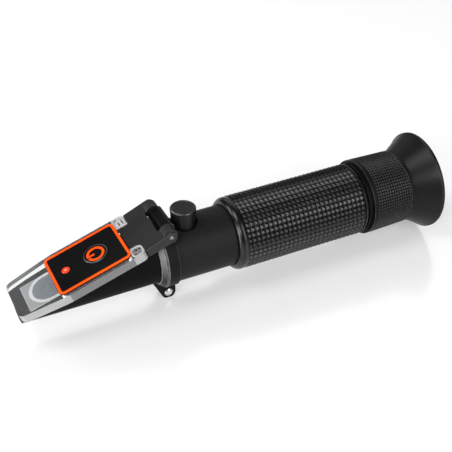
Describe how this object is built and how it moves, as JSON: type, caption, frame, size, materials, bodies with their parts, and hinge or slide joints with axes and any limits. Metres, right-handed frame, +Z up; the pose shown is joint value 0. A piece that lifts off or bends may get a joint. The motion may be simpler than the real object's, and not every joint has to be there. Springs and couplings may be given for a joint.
{
  "type": "salinity refractometer",
  "caption": "Hand-held salinity refractometer with a hinged clear daylight plate carrying a push-button lamp, a calibration knob, a rubber grip, a focus ring and a flared eyecup.",
  "frame": {"origin": "under the middle of the instrument's bounding box, on the surface that the clamp lug and the eyecup's rim rest on", "axes": "+X along the tube towards the eyecup, +Z up through the calibration knob, prism head at -X"},
  "size_m": [0.173, 0.04, 0.0401],
  "materials": {
    "black_metal": "satin black anodised",
    "black_plastic": "satin black moulded plastic",
    "gloss_black": "gloss black",
    "grip_rubber": "black moulded rubber",
    "cup_rubber": "soft matte black rubber",
    "clear_plastic": "clear polished acrylic",
    "optical_glass": "polished glass",
    "orange_plastic": "bright orange",
    "grey_plastic": "grey, polished",
    "red_lens": "red, clear-tinted lens",
    "steel": "bright plated steel",
    "brass": "turned brass",
    "board_green": "solder-masked circuit board",
    "lamp_white": "moulded lamp body"
  },
  "bodies": {
    "body": {"prism_head": "black_metal", "main_prism": "optical_glass", "clamp_band": "black_plastic", "clamp_screw": "steel", "clamp_nut": "steel", "hinge_pin": "steel", "main_tube": "black_metal", "bimetal_strip": "brass", "strip_screw": "steel", "reticle_holder": "brass", "reticle": "optical_glass", "calibration_bush": "brass", "grip_sleeve": "grip_rubber", "guide_pin": "steel"},
    "objective": {"objective_cell": "brass", "objective_lens": "optical_glass", "calibration_screw": "steel"},
    "calibration_knob": {"calibration_knob": "black_plastic"},
    "eyepiece": {"eyepiece_barrel": "black_plastic", "barrel_clip": "steel", "field_lens": "optical_glass", "lens_spacer": "black_plastic", "eye_lens": "optical_glass", "lens_retainer": "gloss_black"},
    "focus_ring": {"focus_ring": "black_plastic", "eyecup": "cup_rubber"},
    "cover": {"hinge_bracket": "black_plastic", "daylight_plate": "clear_plastic", "lamp_frame": "orange_plastic", "lamp_panel": "gloss_black", "button_ring": "grey_plastic", "indicator_lens": "red_lens", "circuit_board": "board_green", "tactile_switch": "steel", "indicator_chip": "lamp_white", "light_chip": "lamp_white", "button_cell_left": "steel", "button_cell_right": "steel", "lamp_back_cover": "black_plastic"},
    "power_button": {"power_button": "gloss_black"}
  },
  "joints": [
    {"name": "cover_hinge", "type": "hinge", "parent": "body", "child": "cover", "pos_m": [-0.0288, 0, 0.03525], "axis": [0, 1, 0], "range_deg": [0, 110]},
    {"name": "button_press", "type": "slide", "parent": "cover", "child": "power_button", "axis": [0.307, 0, -0.9517], "range_m": [0, 0.0003], "stiffness_N_per_m": 1500, "springref_m": -0.0004},
    {"name": "objective_shift", "type": "slide", "parent": "body", "child": "objective", "axis": [0, 0, 1], "range_m": [-0.00025, 0.00025]},
    {"name": "calibration_turn", "type": "hinge", "parent": "objective", "child": "calibration_knob", "pos_m": [-0.01936, 0, 0.03405], "axis": [0, 0, 1], "range_deg": [-180, 180]},
    {"name": "focus_slide", "type": "slide", "parent": "body", "child": "eyepiece", "axis": [1, 0, 0], "range_m": [0, 0.004]},
    {"name": "focus_turn", "type": "hinge", "parent": "eyepiece", "child": "focus_ring", "pos_m": [0.06531, 0, 0.02005], "axis": [1, 0, 0], "range_deg": [0, 240]}
  ],
  "couplings": [
    {"joint": "calibration_turn", "follows": "objective_shift", "rad_per_m": 12566},
    {"joint": "focus_slide", "follows": "focus_turn", "m_per_rad": 0.0009549}
  ]
}
